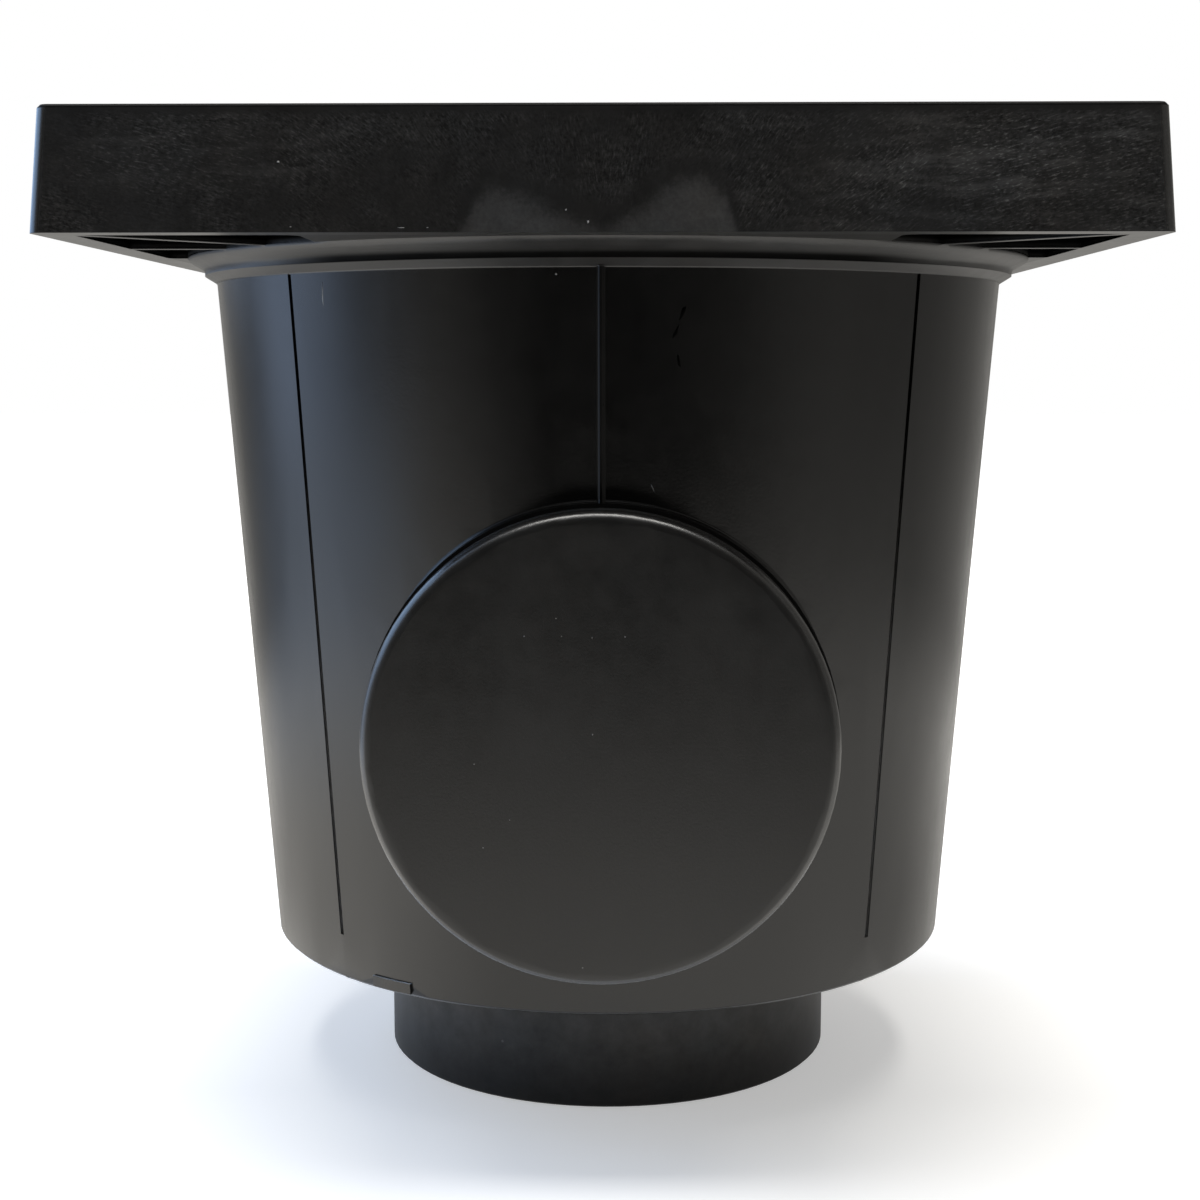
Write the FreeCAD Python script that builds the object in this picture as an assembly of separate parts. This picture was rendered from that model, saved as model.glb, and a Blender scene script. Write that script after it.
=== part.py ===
import FreeCAD
import Part
import math
import os

# Gully drain: a one-piece moulded body with a square frame, a tapered pot, a blanked side spigot
# and an open bottom spigot, with a drop-in grate and a lift-out silt basket.
# Units are millimetres. The origin is the centre of the bottom spigot's end face, +Z is up
# and the side spigot points along -Y.

# Square frame round the mouth
TOTAL_HEIGHT = 250.0
FRAME_SIDE = 250.0
FRAME_HEIGHT = 27.8
FRAME_DRAFT = 1.9
FRAME_CORNER_R = 3.0
FRAME_TOP_CHAMFER = 0.7
FRAME_WALL = 8.0
REBATE_CORNER_R = 2.0
GRATE_DEPTH = 13.0
SEAT_THICKNESS = 4.0

# Collar and neck between the frame and the pot
COLLAR_OUTER_R = 115.6
COLLAR_INNER_R = 112.0
COLLAR_BEND_STEPS = 5
LEDGE_Z = 222.0
NECK_RING_R = 111.2
NECK_RING_Z = 217.7
CREASE_TOP_Z = 218.7

# Webs and ribs in the pockets under the frame's corners
FRONT_WEB_HALF = 67.0
SIDE_WEB_HALF = 28.0
WEB_END_R = 4.0
SIDE_WEB_END_R = 2.0
RIB_THICKNESS = 3.0
SIDE_RIB_Y = 67.0

# Tapered pot
POT_TOP_R = 108.0
POT_TOP_Z = 216.0
POT_BASE_R = 94.4
POT_BASE_Z = 36.0
POT_BASE_CHAMFER = 0.9
POT_LIP = 0.45
POT_WALL = 4.0

# Mould lines and a lug on the pot
GROOVE_WIDTH = 1.3
GROOVE_DEPTH = 0.8
GROOVE_LOW_Z = 48.0
RIDGE_FOOT_WIDTH = 2.1
RIDGE_TOP_WIDTH = 0.6
RIDGE_HEIGHT = 0.9
RIDGE_ROOT = 0.5
LUG_FROM_FRONT = -38.0
LUG_SPAN = 7.5
LUG_HEIGHT = 2.7
LUG_STANDOFF = 0.6
LUG_ROOT = 1.0

# Spigots for drain pipes
SIDE_SPIGOT_R = 55.0
SIDE_SPIGOT_Z = 106.4
SIDE_SPIGOT_END_Y = -120.0
SIDE_SPIGOT_EDGE_R = 2.8
SIDE_SPIGOT_EDGE_STEPS = 4
SIDE_SPIGOT_SHOULDER = 0.8
SIDE_SPIGOT_SHOULDER_Y = -108.5
SIDE_SPIGOT_BLANK = 4.0
BOTTOM_SPIGOT_R = 62.5
BOTTOM_SPIGOT_CHAMFER = 0.8
SPIGOT_WALL = 3.5

# Grate
GRATE_GAP = 0.7
GRATE_BELOW_FRAME = 0.5
GRATE_CORNER_R = 2.0
GRATE_TOP_CHAMFER = 0.8
GRATE_BORDER = 12.0
GRATE_SPINE = 10.0
SLOT_WIDTH = 10.0
SLOT_DRAFT = 0.7
SLOT_ROWS = 12
SLOT_END_STEPS = 6

# Silt basket
BASKET_FLANGE_R = 111.3
BASKET_FLANGE_THICKNESS = 2.5
BASKET_R = 95.0
BASKET_BASE_Z = 140.0
BASKET_WALL = 2.5
WALL_SLOT_COUNT = 14
WALL_SLOT_WIDTH = 10.0
WALL_SLOT_LOW_Z = 165.0
WALL_SLOT_HIGH_Z = 208.0
FLOOR_SLOT_COUNT = 8
FLOOR_SLOT_WIDTH = 6.0
FLOOR_SLOT_INNER_R = 28.0
FLOOR_SLOT_OUTER_R = 74.0
HANDLE_WIDTH = 14.0
HANDLE_THICKNESS = 3.5
HANDLE_TOP_Z = 233.0
HANDLE_REACH = 105.0

# Reach of a cutting solid past the face that it cuts
CUT_OVER = 1.0

# Largest distance at which two heights count as the same
SAME_HEIGHT = 0.01

# Sizes that follow from the driving dimensions
FRAME_BASE_Z = TOTAL_HEIGHT - FRAME_HEIGHT
FRAME_TOP_SIDE = FRAME_SIDE - 2 * FRAME_DRAFT
REBATE_SIDE = FRAME_SIDE - 2 * FRAME_WALL
SEAT_Z = TOTAL_HEIGHT - GRATE_DEPTH
POCKET_TOP_Z = SEAT_Z - SEAT_THICKNESS
POCKET_DEPTH = POCKET_TOP_Z - FRAME_BASE_Z
POT_FLOOR_Z = POT_BASE_Z + POT_WALL
POT_LIP_Z = POT_TOP_Z - POT_LIP
GRATE_SIDE = REBATE_SIDE - 2 * GRATE_GAP
GRATE_TOP_Z = TOTAL_HEIGHT - GRATE_BELOW_FRAME

ORIGIN = FreeCAD.Vector(0, 0, 0)
UP = FreeCAD.Vector(0, 0, 1)
FRONT = FreeCAD.Vector(0, -1, 0)
FRONT_ANGLE = -90
BACK_ANGLE = 90


def in_section(point):
    """Place a (radius, height) pair in the XZ plane."""
    return FreeCAD.Vector(point[0], 0, point[1])


def straight_edges(points):
    """Edges that join points in turn."""
    return [Part.makeLine(start, end) for start, end in zip(points, points[1:])]


def section_face(section):
    """Flat face in the XZ plane, bounded by a polygon of (radius, height) pairs."""
    points = [in_section(point) for point in section]
    return Part.Face(Part.Wire(straight_edges(points + points[:1])))


def revolved_polygon(section):
    """Solid made by turning a polygon of (radius, height) pairs about the Z axis."""
    return section_face(section).revolve(ORIGIN, UP, 360)


def rounded_square(side, corner_radius, z):
    """Wire of a square with rounded corners, centred on the Z axis."""
    half = side / 2
    straight = half - corner_radius
    diagonal = straight + corner_radius * math.cos(math.radians(45))
    edges = []
    for quarter in range(4):
        turn = FreeCAD.Rotation(UP, 90 * quarter)
        side_start = turn.multVec(FreeCAD.Vector(half, -straight, z))
        side_end = turn.multVec(FreeCAD.Vector(half, straight, z))
        corner_middle = turn.multVec(FreeCAD.Vector(diagonal, diagonal, z))
        corner_end = turn.multVec(FreeCAD.Vector(straight, half, z))
        edges.append(Part.makeLine(side_start, side_end))
        edges.append(Part.Arc(side_end, corner_middle, corner_end).toShape())
    return Part.Wire(edges)


def square_prism(side, corner_radius, z_low, z_high):
    """Upright block with a rounded square plan."""
    face = Part.Face(rounded_square(side, corner_radius, z_low))
    return face.extrude(UP * (z_high - z_low))


def box_between(low, high):
    """Box between two opposite corners."""
    size = [b - a for a, b in zip(low, high)]
    return Part.makeBox(size[0], size[1], size[2], FreeCAD.Vector(*low))


def turned(shape, degrees):
    """Copy of a shape, turned about the Z axis."""
    copy = shape.copy()
    copy.rotate(ORIGIN, UP, degrees)
    return copy


def pot_radius(z):
    """Outer radius of the tapered pot at a height."""
    share = (z - POT_BASE_Z) / (POT_TOP_Z - POT_BASE_Z)
    return POT_BASE_R + share * (POT_TOP_R - POT_BASE_R)


def edges_at(shape, test):
    """Edges whose middle point passes a test."""
    found = []
    for edge in shape.Edges:
        middle = edge.valueAt((edge.FirstParameter + edge.LastParameter) / 2)
        if test(middle):
            found.append(edge)
    return found


def frame_block():
    """The square frame as a solid block, with draft on its sides and a softened top edge."""
    chamfer_z = TOTAL_HEIGHT - FRAME_TOP_CHAMFER
    chamfer_side = FRAME_TOP_SIDE - 2 * FRAME_TOP_CHAMFER
    sections = [rounded_square(FRAME_SIDE, FRAME_CORNER_R, FRAME_BASE_Z),
                rounded_square(FRAME_TOP_SIDE, FRAME_CORNER_R, chamfer_z),
                rounded_square(chamfer_side, FRAME_CORNER_R - FRAME_TOP_CHAMFER, TOTAL_HEIGHT)]
    return Part.makeLoft(sections, True, True)


def quarter_round(start, end, steps):
    """Points of a quarter round between two (radius, height) corners, leaving the first one upright."""
    points = []
    for step in range(steps + 1):
        angle = math.radians(90 * step / steps)
        points.append((start[0] + (end[0] - start[0]) * (1 - math.cos(angle)),
                       start[1] + (end[1] - start[1]) * math.sin(angle)))
    return points


def s_curve(start, end, steps):
    """Points of an S curve between two (radius, height) corners, upright at both ends."""
    points = []
    for step in range(steps + 1):
        share = step / steps
        bend = share * share * (3 - 2 * share)
        points.append((start[0] + (end[0] - start[0]) * bend, start[1] + (end[1] - start[1]) * share))
    return points


def pot_block():
    """Pot, neck and collar as a solid of revolution."""
    chamfer_z = POT_BASE_Z + POT_BASE_CHAMFER
    section = [(0, POT_BASE_Z), (POT_BASE_R - POT_BASE_CHAMFER, POT_BASE_Z),
               (pot_radius(chamfer_z), chamfer_z), (pot_radius(POT_LIP_Z), POT_LIP_Z),
               (POT_TOP_R + POT_LIP, POT_TOP_Z), (NECK_RING_R, NECK_RING_Z)]
    section += s_curve((NECK_RING_R, CREASE_TOP_Z), (COLLAR_OUTER_R, FRAME_BASE_Z), COLLAR_BEND_STEPS)
    section += [(COLLAR_OUTER_R, SEAT_Z), (0, SEAT_Z)]
    return revolved_polygon(section)


def side_spigot_block():
    """Side spigot as a solid cylinder, with a stop shoulder and a rounded rim on its end disc."""
    length = -SIDE_SPIGOT_END_Y
    shoulder_r = SIDE_SPIGOT_R + SIDE_SPIGOT_SHOULDER
    shoulder_length = -SIDE_SPIGOT_SHOULDER_Y
    rim = quarter_round((SIDE_SPIGOT_R, length - SIDE_SPIGOT_EDGE_R),
                        (SIDE_SPIGOT_R - SIDE_SPIGOT_EDGE_R, length), SIDE_SPIGOT_EDGE_STEPS)
    spigot = revolved_polygon([(0, 0), (shoulder_r, 0), (shoulder_r, shoulder_length),
                               (SIDE_SPIGOT_R, shoulder_length)] + rim + [(0, length)])
    spigot.rotate(ORIGIN, FreeCAD.Vector(1, 0, 0), 90)
    spigot.translate(UP * SIDE_SPIGOT_Z)
    return spigot


def bottom_spigot_block():
    """Bottom spigot as a solid cylinder, chamfered where a pipe slides on."""
    spigot = Part.makeCylinder(BOTTOM_SPIGOT_R, POT_FLOOR_Z)
    rim = edges_at(spigot, lambda point: abs(point.z) < SAME_HEIGHT)
    return spigot.makeChamfer(BOTTOM_SPIGOT_CHAMFER, rim)


def web(half_length, end_radius):
    """Filled stretch between the frame's front wall and the collar, with hollow rounded ends."""
    wall_y = -REBATE_SIDE / 2
    inner_y = -COLLAR_INNER_R * math.cos(math.asin(half_length / COLLAR_INNER_R))
    bend = end_radius * (1 - math.cos(math.radians(45)))

    def corner(x, y):
        return FreeCAD.Vector(x, y, FRAME_BASE_Z - CUT_OVER)

    edges = []
    sides = {}
    for sign in (-1, 1):
        at_wall = corner(sign * (half_length + end_radius), wall_y)
        middle = corner(sign * (half_length + bend), wall_y + bend)
        at_end = corner(sign * half_length, wall_y + end_radius)
        at_collar = corner(sign * half_length, max(inner_y, wall_y + end_radius + CUT_OVER))
        edges.append(Part.Arc(at_wall, middle, at_end).toShape())
        edges.append(Part.makeLine(at_end, at_collar))
        sides[sign] = (at_wall, at_collar)
    edges.append(Part.makeLine(sides[-1][0], sides[1][0]))
    edges.append(Part.makeLine(sides[-1][1], sides[1][1]))
    outline = Part.Wire(Part.__sortEdges__(edges))
    return Part.Face(outline).extrude(UP * (POCKET_DEPTH + 2 * CUT_OVER))


def corner_pockets():
    """Hollows under the frame between its walls and the collar, with ribs and webs left standing."""
    low_z = FRAME_BASE_Z - CUT_OVER
    high_z = POCKET_TOP_Z + CUT_OVER
    half = REBATE_SIDE / 2
    hollow = square_prism(REBATE_SIDE, REBATE_CORNER_R, low_z, POCKET_TOP_Z)

    collar = Part.makeCylinder(COLLAR_OUTER_R, high_z - low_z, UP * low_z)
    corner_rib = box_between((COLLAR_INNER_R, -RIB_THICKNESS / 2, low_z),
                             (half * math.sqrt(2), RIB_THICKNESS / 2, high_z))
    kept = [collar]
    for quarter in range(4):
        kept.append(turned(corner_rib, 45 + 90 * quarter))
    for half_turn in (0, 180):
        kept.append(turned(web(FRONT_WEB_HALF, WEB_END_R), half_turn))
        kept.append(turned(web(SIDE_WEB_HALF, SIDE_WEB_END_R), half_turn + 90))
        for rib_y in (-SIDE_RIB_Y, SIDE_RIB_Y):
            side_rib = box_between((SIDE_RIB_Y, rib_y - RIB_THICKNESS / 2, low_z),
                                   (half + CUT_OVER, rib_y + RIB_THICKNESS / 2, high_z))
            kept.append(turned(side_rib, half_turn))
    return hollow.cut(kept)


def pot_strip(angle, z_low, z_high, below, above, foot_width, top_width):
    """Strip that follows the pot's slope, from under its surface to over it."""
    ends = []
    for z in (z_low, z_high):
        foot = pot_radius(z) - below
        top = pot_radius(z) + above
        corners = [FreeCAD.Vector(foot, -foot_width / 2, z), FreeCAD.Vector(foot, foot_width / 2, z),
                   FreeCAD.Vector(top, top_width / 2, z), FreeCAD.Vector(top, -top_width / 2, z)]
        ends.append(Part.makePolygon(corners + corners[:1]))
    return turned(Part.makeLoft(ends, True, True), angle)


def ridge(angle, z_low):
    """Raised mould line on the pot with sloping sides, rooted in its wall."""
    slope = (RIDGE_FOOT_WIDTH - RIDGE_TOP_WIDTH) / RIDGE_HEIGHT
    return pot_strip(angle, z_low, POT_TOP_Z, RIDGE_ROOT, RIDGE_HEIGHT,
                     RIDGE_FOOT_WIDTH + slope * RIDGE_ROOT, RIDGE_TOP_WIDTH)


def edge_lug():
    """Small raised lug on the pot's lower edge, left of the side spigot."""
    low_z = POT_BASE_Z + POT_BASE_CHAMFER
    high_z = low_z + LUG_HEIGHT
    low_r = pot_radius(low_z)
    high_r = pot_radius(high_z)
    face = section_face([(low_r - LUG_ROOT, low_z), (low_r + LUG_STANDOFF, low_z),
                         (high_r + LUG_STANDOFF, high_z), (high_r - LUG_ROOT, high_z)])
    return turned(face.revolve(ORIGIN, UP, LUG_SPAN), FRONT_ANGLE + LUG_FROM_FRONT)


def inner_space():
    """Everything hollow inside the body: grate rebate, mouth, pot and both spigot bores."""
    above = TOTAL_HEIGHT + CUT_OVER
    rebate = square_prism(REBATE_SIDE, REBATE_CORNER_R, SEAT_Z, above)
    floor_r = pot_radius(POT_FLOOR_Z) - POT_WALL
    mouth_r = POT_TOP_R - POT_WALL
    pot = revolved_polygon([(0, POT_FLOOR_Z), (floor_r, POT_FLOOR_Z), (mouth_r, LEDGE_Z),
                            (COLLAR_INNER_R, LEDGE_Z), (COLLAR_INNER_R, above), (0, above)])
    side_length = -SIDE_SPIGOT_END_Y - SIDE_SPIGOT_BLANK
    side_bore = Part.makeCylinder(SIDE_SPIGOT_R - SPIGOT_WALL, side_length, UP * SIDE_SPIGOT_Z, FRONT)
    bottom_bore = Part.makeCylinder(BOTTOM_SPIGOT_R - SPIGOT_WALL, POT_FLOOR_Z + 2 * CUT_OVER,
                                    UP * -CUT_OVER)
    return rebate.fuse([pot, side_bore, bottom_bore])


def gully_body():
    """Frame, collar, pot and spigots as the one moulding that they are."""
    crown_z = SIDE_SPIGOT_Z + SIDE_SPIGOT_R
    raised = [ridge(FRONT_ANGLE, crown_z), ridge(BACK_ANGLE, GROOVE_LOW_Z), edge_lug()]
    grooves = []
    for quarter in range(4):
        grooves.append(pot_strip(45 + 90 * quarter, GROOVE_LOW_Z, POT_LIP_Z, GROOVE_DEPTH, CUT_OVER,
                                 GROOVE_WIDTH, GROOVE_WIDTH))
    block = frame_block().fuse([pot_block(), side_spigot_block(), bottom_spigot_block()] + raised)
    return block.cut([corner_pockets(), inner_space()] + grooves).removeSplitter()


def slot_outline(length, width, centre_x, centre_y, z):
    """Wire of a slot with rounded ends, long along X."""
    end_r = width / 2
    reach = length / 2 - end_r
    points = []
    for side in (-1, 1):
        for step in range(SLOT_END_STEPS + 1):
            angle = math.radians(-90 + 180 * step / SLOT_END_STEPS)
            x = side * (reach + end_r * math.cos(angle))
            y = side * end_r * math.sin(angle)
            points.append(FreeCAD.Vector(centre_x + x, centre_y + y, z))
    return Part.makePolygon(points + points[:1])


def grate():
    """Drop-in grate: two columns of slots that widen downwards, so that grit falls through."""
    plate = square_prism(GRATE_SIDE, GRATE_CORNER_R, SEAT_Z, GRATE_TOP_Z)
    top_edges = edges_at(plate, lambda point: abs(point.z - GRATE_TOP_Z) < SAME_HEIGHT)
    plate = plate.makeChamfer(GRATE_TOP_CHAMFER, top_edges)

    slotted = GRATE_SIDE - 2 * GRATE_BORDER
    slot_length = (slotted - GRATE_SPINE) / 2
    pitch = (slotted - SLOT_WIDTH) / (SLOT_ROWS - 1)
    slots = []
    for row in range(SLOT_ROWS):
        y = -slotted / 2 + SLOT_WIDTH / 2 + row * pitch
        for side in (-1, 1):
            x = side * (GRATE_SPINE + slot_length) / 2
            high = slot_outline(slot_length, SLOT_WIDTH, x, y, GRATE_TOP_Z)
            low = slot_outline(slot_length + 2 * SLOT_DRAFT, SLOT_WIDTH + 2 * SLOT_DRAFT, x, y, SEAT_Z)
            slots.append(Part.makeLoft([low, high], True, True))
    return plate.cut(slots)


def basket_handle():
    """Arched bar across the basket's mouth."""
    half = HANDLE_REACH
    flange_top = LEDGE_Z + BASKET_FLANGE_THICKNESS
    inner_half = half - HANDLE_THICKNESS
    upper = Part.Arc(FreeCAD.Vector(-half, 0, flange_top), FreeCAD.Vector(0, 0, HANDLE_TOP_Z),
                     FreeCAD.Vector(half, 0, flange_top)).toShape()
    lower = Part.Arc(FreeCAD.Vector(-inner_half, 0, LEDGE_Z),
                     FreeCAD.Vector(0, 0, HANDLE_TOP_Z - HANDLE_THICKNESS),
                     FreeCAD.Vector(inner_half, 0, LEDGE_Z)).toShape()
    ends = [Part.makeLine(FreeCAD.Vector(sign * half, 0, flange_top),
                          FreeCAD.Vector(sign * inner_half, 0, LEDGE_Z)) for sign in (-1, 1)]
    outline = Part.Wire(Part.__sortEdges__([upper, lower] + ends))
    bar = Part.Face(outline).extrude(FreeCAD.Vector(0, HANDLE_WIDTH, 0))
    bar.translate(FreeCAD.Vector(0, -HANDLE_WIDTH / 2, 0))
    return bar


def silt_basket():
    """Lift-out basket that hangs by its flange on the ledge inside the mouth."""
    flange_top = LEDGE_Z + BASKET_FLANGE_THICKNESS
    floor_z = BASKET_BASE_Z + BASKET_WALL
    inner_r = BASKET_R - BASKET_WALL
    shell = revolved_polygon([(0, BASKET_BASE_Z), (BASKET_R, BASKET_BASE_Z), (BASKET_R, LEDGE_Z),
                              (BASKET_FLANGE_R, LEDGE_Z), (BASKET_FLANGE_R, flange_top),
                              (inner_r, flange_top), (inner_r, floor_z), (0, floor_z)])
    wall_slot = box_between((BASKET_R / 2, -WALL_SLOT_WIDTH / 2, WALL_SLOT_LOW_Z),
                            (BASKET_FLANGE_R, WALL_SLOT_WIDTH / 2, WALL_SLOT_HIGH_Z))
    floor_slot = box_between((FLOOR_SLOT_INNER_R, -FLOOR_SLOT_WIDTH / 2, BASKET_BASE_Z - CUT_OVER),
                             (FLOOR_SLOT_OUTER_R, FLOOR_SLOT_WIDTH / 2, floor_z + CUT_OVER))
    wall_pitch = 360 / WALL_SLOT_COUNT
    floor_pitch = 360 / FLOOR_SLOT_COUNT
    slots = [turned(wall_slot, wall_pitch / 2 + step * wall_pitch) for step in range(WALL_SLOT_COUNT)]
    slots += [turned(floor_slot, step * floor_pitch) for step in range(FLOOR_SLOT_COUNT)]
    return shell.cut(slots).fuse(basket_handle()).removeSplitter()


os.makedirs("parts", exist_ok=True)
gully_body().exportStep("parts/gully_body.step")
grate().exportStep("parts/grate.step")
silt_basket().exportStep("parts/silt_basket.step")
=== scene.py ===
import math

import bmesh
import bpy
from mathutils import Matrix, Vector


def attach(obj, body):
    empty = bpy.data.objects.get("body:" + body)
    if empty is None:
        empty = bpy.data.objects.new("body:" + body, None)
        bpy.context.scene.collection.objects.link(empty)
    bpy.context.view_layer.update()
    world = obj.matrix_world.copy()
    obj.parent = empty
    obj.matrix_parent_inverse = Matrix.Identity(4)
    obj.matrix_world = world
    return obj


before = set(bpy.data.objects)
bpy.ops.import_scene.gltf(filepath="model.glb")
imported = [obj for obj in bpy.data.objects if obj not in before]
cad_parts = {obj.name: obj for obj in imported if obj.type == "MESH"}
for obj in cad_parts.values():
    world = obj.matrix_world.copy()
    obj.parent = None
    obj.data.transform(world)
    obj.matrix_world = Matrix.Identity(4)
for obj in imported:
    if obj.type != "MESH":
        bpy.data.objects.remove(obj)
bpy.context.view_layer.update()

# Gully drain, dressed and lit as in the photograph. Units are metres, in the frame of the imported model:
# +Z is up along the pot's axis and the blanked side spigot points along -Y, towards the camera.

# Sizes repeated from the part's source
POT_TOP_R = 0.108
POT_TOP_Z = 0.216
POT_BASE_R = 0.0944
POT_BASE_Z = 0.036
SPIGOT_Z = 0.1064
SHOULDER_R = 0.0558
DISC_Y = -0.120
DISC_EDGE_Y = (-0.1199, -0.1194, -0.1172, -0.1168)
FRAME_BASE_Z = 0.2222
FRAME_TOP_Z = 0.250
FRAME_HALF = 0.125
FRAME_DRAFT = 0.0019 / 0.0278
COLLAR_R = 0.1156
REBATE_HALF = 0.117
CREASE_HEIGHTS = (0.2175, 0.2177, 0.2187, 0.2206)
CREASE_FADE = (0.060, 0.090)
LUG_TOP = (0.0392, 0.0394, 0.0398, 0.0400)
LUG_HEIGHTS = (0.0364, 0.0368, 0.0397, 0.0400)
LUG_END_X = (-0.0542, -0.0536, -0.0524, -0.0518)
RIDGE_X = (-0.0015, -0.0012, 0.0012, 0.0015)

# Where each zone of the body starts and ends. Pairs fade from the first number to the second.
SIDE_SPIGOT_TOP = (0.19, 0.20)
SIDE_SPIGOT_Y = (-0.1125, -0.1105)
DISC_FADE = (DISC_Y + 0.0001, DISC_Y + 0.0010)
BOTTOM_SPIGOT_TOP = (POT_BASE_Z - 0.0012, POT_BASE_Z - 0.0004)
BOTTOM_SPIGOT_FOOT = (0.002, 0.024)
NECK_HEIGHTS = (POT_TOP_Z - 0.0006, POT_TOP_Z, FRAME_BASE_Z, FRAME_BASE_Z + 0.0003)
NECK_REACH = (POT_TOP_R - 0.002, POT_TOP_R - 0.001)
CREASE_REACH = (0.1095, 0.1105)
UNDERSIDE_FACING = (-0.98, -0.94)
UNDERSIDE_REACH = (REBATE_HALF - 0.0002, REBATE_HALF)
RIDGE_Y = (-0.098, -0.096)
RIDGE_HEIGHTS = (SPIGOT_Z + SHOULDER_R, SPIGOT_Z + SHOULDER_R + 0.001, POT_TOP_Z - 0.0004, POT_TOP_Z)
RIDGE_PROUD = (0.00002, 0.0001)
POCKET_HEIGHTS = (FRAME_BASE_Z + 0.0001, FRAME_BASE_Z + 0.0015)
POCKET_OUTER = (REBATE_HALF, REBATE_HALF + 0.0004)
POCKET_INNER = (COLLAR_R - 0.0004, COLLAR_R - 0.0001)
RIM_HEIGHTS = (FRAME_BASE_Z - 0.0002, FRAME_BASE_Z + 0.0003)
RIM_REACH = (0.1195, 0.1205)
RIM_FACING = (0.75, 0.95)
TOP_EDGE_HEIGHTS = (FRAME_TOP_Z - 0.0010, FRAME_TOP_Z - 0.0006)
CORNER_START = (-0.0030, -0.0022)
LEDGE_FACING = (0.9, 0.97)
LEDGE_REACH = (0.0940, 0.0944)
LUG_PROUD = (0.00005, 0.00025)
LUG_Y = (-0.05, -0.04)
LUG_FADE_X = (-0.0605, -0.0530)
LUG_END_FACING = (0.70, 0.80)
GROOVE_OFF_LINE = (0.0010, 0.0012)
GROOVE_SINK = (-0.0004, -0.0001)
GROOVE_FLOOR = (-0.0020, -0.0015)
# The grooves are paler low down at the front: painted light.
GROOVE_LIGHT_HEIGHTS = (0.07, 0.19)
GROOVE_LIGHT_Y = (-0.03, -0.01)

# Camera, fitted to the photograph's outlines
CAMERA_PLACE = (0.00833, -0.5475, 0.19232)
CAMERA_YAW = -0.0193
CAMERA_PITCH = 0.1188
CAMERA_LENS = 57.59
CAMERA_SENSOR = 36.0

# Edges that bend more than this stay sharp when the shading is smoothed
SMOOTH_ANGLE = math.radians(47)
WELD_DISTANCE = 1e-6

# Small concave fillet where the side spigot leaves the pot
FILLET_SIZE = 0.0006
FILLET_ROOT = 0.0004
FILLET_STEPS = 5
FILLET_TURNS = 160

# Paleness, roughness and shine of each part of the body. Several of them stand in for light and shade, as
# painted light, painted shade and painted highlights, as noted at each.
POT_PLASTIC = (0.0020, 0.21, 0.50)
RIDGE_PLASTIC = (0.0040, 0.30, 0.22)
# The neck is paler than the pot to stand in for the light it catches: painted light.
NECK_PAINTED_LIGHT = (0.0200, 0.38, 0.60)
# The frame's underside is much paler: a painted reflection of the bright floor below.
UNDERSIDE_PAINTED_REFLECTION = (0.0350, 0.32, 0.70)
# The crease under the collar is dull and near black: painted shade.
CREASE_PAINTED_SHADE = (0.0020, 0.60, 0.06)
DISC_PLASTIC = (0.0065, 0.34, 0.50)
# The disc's rounded edge is paler and shinier so that its highlight line shows brighter: painted highlight.
DISC_EDGE_PAINTED_HIGHLIGHT = (0.0120, 0.25, 0.90)
# The side spigot's wall is paler so that it shows grey, not black: painted light.
SPIGOT_SIDE_PAINTED_LIGHT = (0.0180, 0.40, 0.50)
# The bottom spigot is much paler to stand in for light it gets, and darker at its foot by the floor: painted
# light and painted shade.
LOWER_PAINTED_LIGHT = (0.0740, 0.50, 0.15)
LOWER_FOOT_PAINTED_SHADE = (0.0240, 0.50, 0.15)
# The pockets between the collar and the frame are nearly black and dull: painted shade.
POCKET_PAINTED_SHADE = (0.0007, 0.60, 0.02)
RIM_PLASTIC = (0.0150, 0.50, 0.20)
# The frame's rounded upright corners are shinier than its faces to brighten their highlight strip: painted
# highlight.
CORNER_PAINTED_HIGHLIGHT = (0.0050, 0.17, 0.90)
# The frame's top edge is darker and dull: painted shade.
TOP_EDGE_PAINTED_SHADE = (0.0050, 0.60, 0.06)
# The lug at the pot's foot is pale and fades towards the right: painted light.
LUG_PAINTED_LIGHT = (0.0450, 0.45, 0.40)
# The lug's top ledge and right end are very pale to lift their shade: painted light.
LEDGE_PAINTED_LIGHT = (0.5000, 0.75, 0.20)
# The floor of the grooves is pale low down at the front to lift their shade: painted light.
GROOVE_PAINTED_LIGHT = (0.1200, 0.75, 0.15)

GRATE_PLASTIC = (0.0135, 0.44, 0.5)
BASKET_PLASTIC = (0.0110, 0.48, 0.5)
PLASTIC_IOR = 1.49

# Unevenness of all the plastic. Noise is given as scale, detail and roughness, and gains are in this order:
# mottling, upright bands, patches.
MOTTLE_NOISE = (34.0, 4.0, 0.6)
BAND_STRETCH = (70.0, 70.0, 2.5)
BAND_NOISE = (1.0, 3.0, 0.55)
GRAIN_NOISE = (1500.0, 3.0, 0.6)
PATCH_NOISE = (160.0, 4.0, 0.65)
TONE_GAINS = (0.6, 0.5, 1.1)
GLOSS_GAINS = (0.10, 0.10, 0.12)
GRAIN_BUMP = 0.12
GRAIN_DEPTH = 0.0002
SPECK_SCALE = 75.0
SPECK_CHANCE = 0.93
SPECK_SIZE = 0.028
SPECK_PALENESS = 0.06
WARM_NOISE = (60.0, 3.0)
WARM_SWING = 0.16
WARM_LOW = 0.94

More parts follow.
